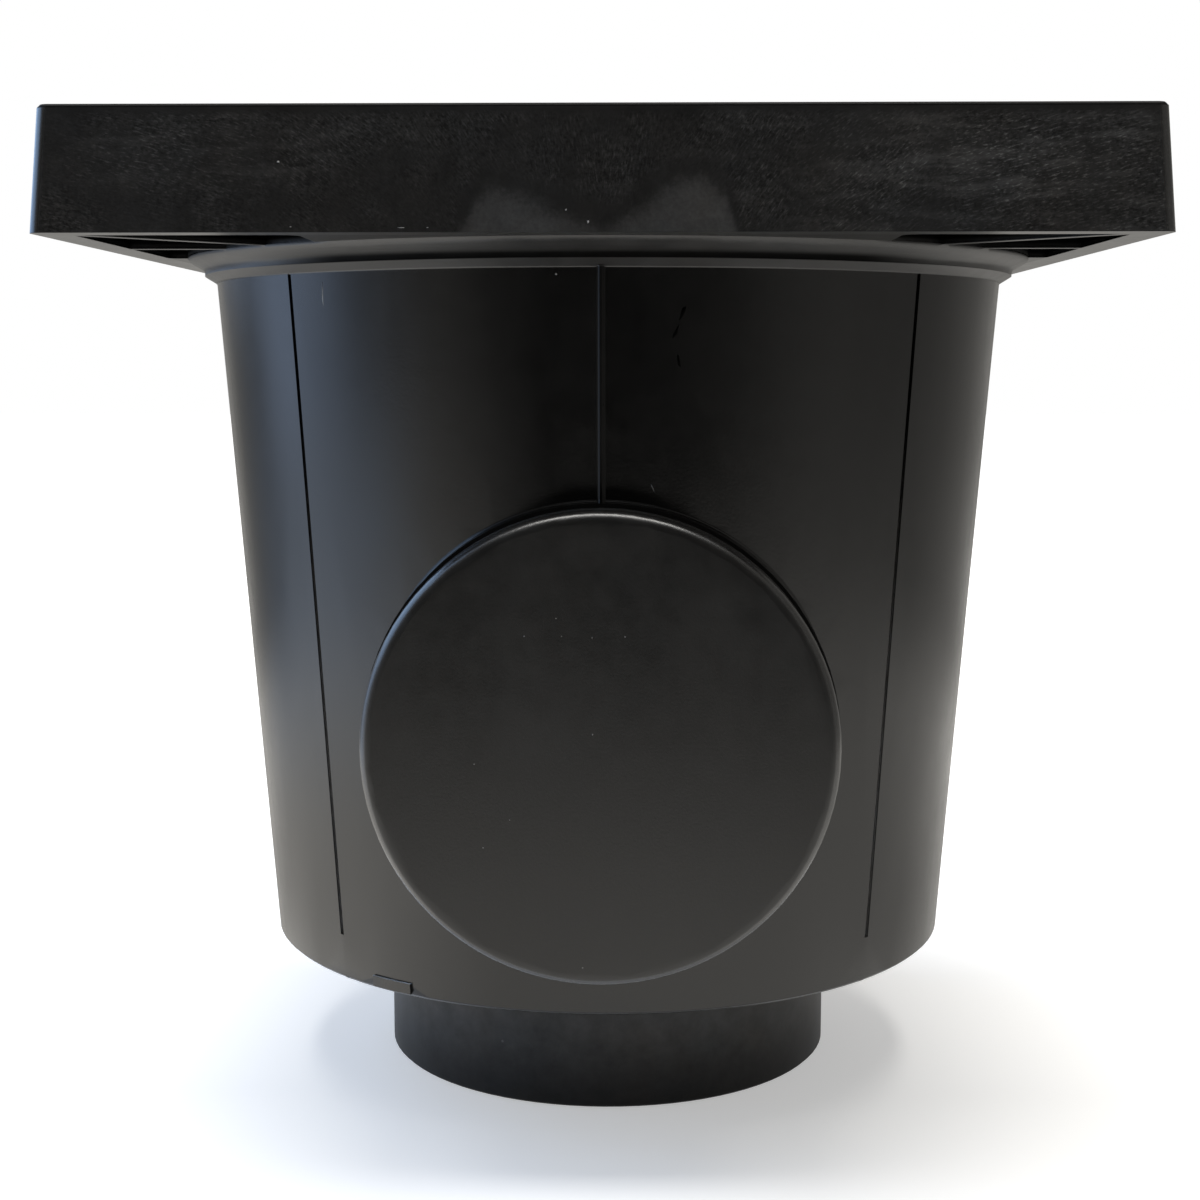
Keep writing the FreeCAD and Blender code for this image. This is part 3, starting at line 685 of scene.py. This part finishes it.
def flecks(shape, rows):
    """Low ragged crumbs on the gully's front."""
    for number, (x, z, half_x, half_z, turn) in enumerate(rows):
        lean = math.radians(turn)
        ring = []
        for side in range(FLECK_SIDES):
            angle = 2 * math.pi * side / FLECK_SIDES
            ragged = 1.0 + FLECK_RAGGED * math.sin(FLECK_SIDE_PHASE * side + FLECK_ROW_PHASE * number)
            across, up = half_x * ragged * math.cos(angle), half_z * ragged * math.sin(angle)
            place = front_place(x + across * math.cos(lean) + up * math.sin(lean),
                                z - across * math.sin(lean) + up * math.cos(lean))
            ring.append(shape.verts.new(place + Vector((0, FLECK_HEIGHT, 0))))
        peak = shape.verts.new(front_place(x, z) - Vector((0, FLECK_HEIGHT, 0)))
        back = shape.verts.new(front_place(x, z) + Vector((0, FLECK_ROOT, 0)))
        for side in range(FLECK_SIDES):
            pair = (ring[side], ring[(side + 1) % FLECK_SIDES])
            shape.faces.new((pair[0], pair[1], peak))
            shape.faces.new((pair[1], pair[0], back))


def plain_grid(name, points, faces):
    """Stage object from points and faces."""
    mesh = bpy.data.meshes.new(name)
    mesh.from_pydata(points, [], faces)
    piece = bpy.data.objects.new(name, mesh)
    bpy.context.scene.collection.objects.link(piece)
    return piece


def shown_rays(tree):
    """Socket that is 1 for camera, glossy and transmission rays."""
    path = add_node(tree, "ShaderNodeLightPath")
    seen = math_node(tree, "MAXIMUM", path.outputs["Is Camera Ray"], path.outputs["Is Glossy Ray"])
    return math_node(tree, "MAXIMUM", seen, path.outputs["Is Transmission Ray"])


def round_place(tree):
    """Sockets of the distance from the axis, the degrees from the front towards the left, and the height."""
    x, y, z = add_node(tree, "ShaderNodeSeparateXYZ", None,
                       _0=add_node(tree, "ShaderNodeTexCoord").outputs["Object"]).outputs
    away = math_node(tree, "SQRT", math_node(tree, "ADD", product(tree, x, x), product(tree, y, y)))
    angle = math_node(tree, "ARCTAN2", math_node(tree, "MULTIPLY", x, -1.0),
                      math_node(tree, "MULTIPLY", y, -1.0))
    return away, math_node(tree, "MULTIPLY", angle, 180 / math.pi), z


def by_angle(tree, degrees, table):
    """Colour socket that follows a table of (degrees, level) pairs."""
    return by_table(tree, degrees, table, -180, 180)


def studio_floor():
    """White floor that keeps the object's shadow and runs out to pure white, with a painted pool of light to
    the left.
    """
    half = FLOOR_HALF
    z = -FLOOR_DROP
    corners = [(-half, -half, z), (half, -half, z), (half, half, z), (-half, half, z)]
    floor = plain_grid("floor", corners, [(0, 1, 2, 3)])
    material = bpy.data.materials.new("white_floor")
    material.use_nodes = True
    tree = material.node_tree
    tree.nodes.clear()
    away, degrees, _height = round_place(tree)
    fill = math_node(tree, "MULTIPLY_ADD", smooth_range(tree, away, *FLOOR_FILL_REACH), 1.0 - FLOOR_FILL,
                     FLOOR_FILL)
    # Painted pool of light on the floor to the left.
    pool = product(tree, inside(tree, degrees, POOL_DEGREES), inside(tree, away, POOL_REACH))
    fill = math_node(tree, "MULTIPLY_ADD", pool, POOL_LIGHT, fill)
    glow = add_node(tree, "ShaderNodeEmission", None, Color=(1, 1, 1, 1),
                    Strength=math_node(tree, "MULTIPLY", fill, shown_rays(tree)))
    paper = add_node(tree, "ShaderNodeBsdfDiffuse", None, Color=(FLOOR_ALBEDO,) * 3 + (1.0,))
    both = add_node(tree, "ShaderNodeAddShader", None, _0=paper.outputs[0], _1=glow.outputs[0])
    add_node(tree, "ShaderNodeOutputMaterial", None, _0=both.outputs[0])
    floor.data.materials.append(material)


def round_wall(name, profile):
    """Stage object turned from a profile of (radius, height) points. The camera doesn't see it."""
    points = []
    for step in range(WALL_SEGMENTS):
        angle = 2 * math.pi * step / WALL_SEGMENTS
        points += [(radius * math.cos(angle), radius * math.sin(angle), z) for radius, z in profile]
    rows = len(profile)
    count = len(points)
    faces = []
    for start in range(0, count, rows):
        for i in range(start, start + rows - 1):
            faces.append((i, (i + rows) % count, (i + rows + 1) % count, i + 1))
    wall = plain_grid(name, points, faces)
    wall.visible_camera = False
    wall.visible_shadow = False
    return wall


def studio_wall():
    """Round wall that stands for the dim room and its window, and its foot, which only reflections show."""
    foot_piece = round_wall("studio_foot", FOOT_PROFILE)
    foot_piece.visible_diffuse = False
    wall = round_wall("studio_wall", WALL_PROFILE)

    material = bpy.data.materials.new("room_light")
    material.use_nodes = True
    tree = material.node_tree
    tree.nodes.clear()
    away, degrees, height = round_place(tree)
    cool = product(tree, inside(tree, degrees, COOL_DEGREES), smooth_range(tree, away, *COOL_REACH))
    tint = mixed(tree, cool, WARM_TINT, COOL_TINT)
    risen = smooth_range(tree, height, *WINDOW_RISE)
    across = blend(tree, risen, inside(tree, degrees, WINDOW_DEGREES),
                   inside(tree, degrees, HIGH_WINDOW_DEGREES))
    window = product(tree, across, inside(tree, height, WINDOW_HEIGHTS))
    view = mixed(tree, risen, WINDOW_LOW_LIGHT, WINDOW_HIGH_LIGHT)
    room = mixed(tree, window, stretched(tree, by_angle(tree, degrees, WALL_LIGHT), tint), view)
    fade = smooth_range(tree, away, *FOOT_FADE)
    shade = product(tree, falling(tree, away, *NEAR_SHADE_REACH),
                    smooth_range(tree, math_node(tree, "ABSOLUTE", degrees), *NEAR_SHADE_DEGREES))
    near = by_angle(tree, degrees, FOOT_NEAR_LIGHT)
    near = mixed(tree, shade, near, stretched(tree, near, (NEAR_SHADE,) * 3))
    foot = mixed(tree, fade, near, by_angle(tree, degrees, FOOT_FAR_LIGHT))
    light = mixed(tree, smooth_range(tree, height, *FOOT_TOP), stretched(tree, foot, tint), room)
    glow = add_node(tree, "ShaderNodeEmission", None, Color=light, Strength=1.0)
    add_node(tree, "ShaderNodeOutputMaterial", None, _0=glow.outputs[0])
    for piece in (foot_piece, wall):
        piece.data.materials.append(material)


def studio_lights():
    """Large soft lamp overhead, and a world that is white to look at and dim as a light."""
    lamp = bpy.data.lights.new("overhead", "AREA")
    lamp.shape = "SQUARE"
    lamp.size = KEY_SIZE
    lamp.energy = KEY_POWER
    lamp.color = KEY_COLOUR
    holder = bpy.data.objects.new("overhead", lamp)
    holder.location = (0.0, 0.0, KEY_HEIGHT)
    bpy.context.scene.collection.objects.link(holder)

    world = bpy.data.worlds.new("white_room")
    bpy.context.scene.world = world
    world.use_nodes = True
    tree = world.node_tree
    tree.nodes.clear()
    level = math_node(tree, "MULTIPLY_ADD", shown_rays(tree), 1.0 - WORLD_FILL, WORLD_FILL)
    sky = add_node(tree, "ShaderNodeBackground", None, Color=(1, 1, 1, 1), Strength=level)
    add_node(tree, "ShaderNodeOutputWorld", None, _0=sky.outputs[0])


def photo_camera():
    """Camera at the photograph's place and angle."""
    data = bpy.data.cameras.new("photo_camera")
    data.lens = CAMERA_LENS
    data.sensor_width = CAMERA_SENSOR
    camera = bpy.data.objects.new("photo_camera", data)
    level = math.cos(CAMERA_PITCH)
    direction = Vector((math.sin(CAMERA_YAW) * level, math.cos(CAMERA_YAW) * level, -math.sin(CAMERA_PITCH)))
    camera.location = CAMERA_PLACE
    camera.rotation_mode = "QUATERNION"
    camera.rotation_quaternion = direction.to_track_quat("-Z", "Y")
    bpy.context.scene.collection.objects.link(camera)
    bpy.context.scene.camera = camera


body_plastic = moulded_plastic("satin_black_body", *POT_PLASTIC, zones=body_zones)
grate_plastic = moulded_plastic("satin_black_grate", *GRATE_PLASTIC)
basket_plastic = moulded_plastic("satin_black_basket", *BASKET_PLASTIC)
for node_name, material in (("gully_body", body_plastic), ("grate", grate_plastic),
                            ("silt_basket", basket_plastic)):
    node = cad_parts[node_name]
    node.material_slots[0].material = material
    smooth_shading(node)

fillet = mesh_piece("spigot_fillet", spigot_fillet, body_plastic)
pale_flecks = mesh_piece("pale_flecks", lambda shape: flecks(shape, PALE_FLECKS),
                         dust("pale_dust", PALE_DUST_LEVEL))
dull_flecks = mesh_piece("dull_flecks", lambda shape: flecks(shape, DULL_FLECKS),
                         dust("dull_dust", DULL_DUST_LEVEL))
dark_flecks = mesh_piece("dark_flecks", lambda shape: flecks(shape, DARK_FLECKS),
                         dust("dark_smear", DARK_SMEAR_LEVEL, DARK_SMEAR_SHINE))
for piece in (fillet, pale_flecks, dull_flecks, dark_flecks):
    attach(piece, "root")

studio_floor()
studio_wall()
studio_lights()
photo_camera()
bpy.context.scene.view_settings.view_transform = "Standard"
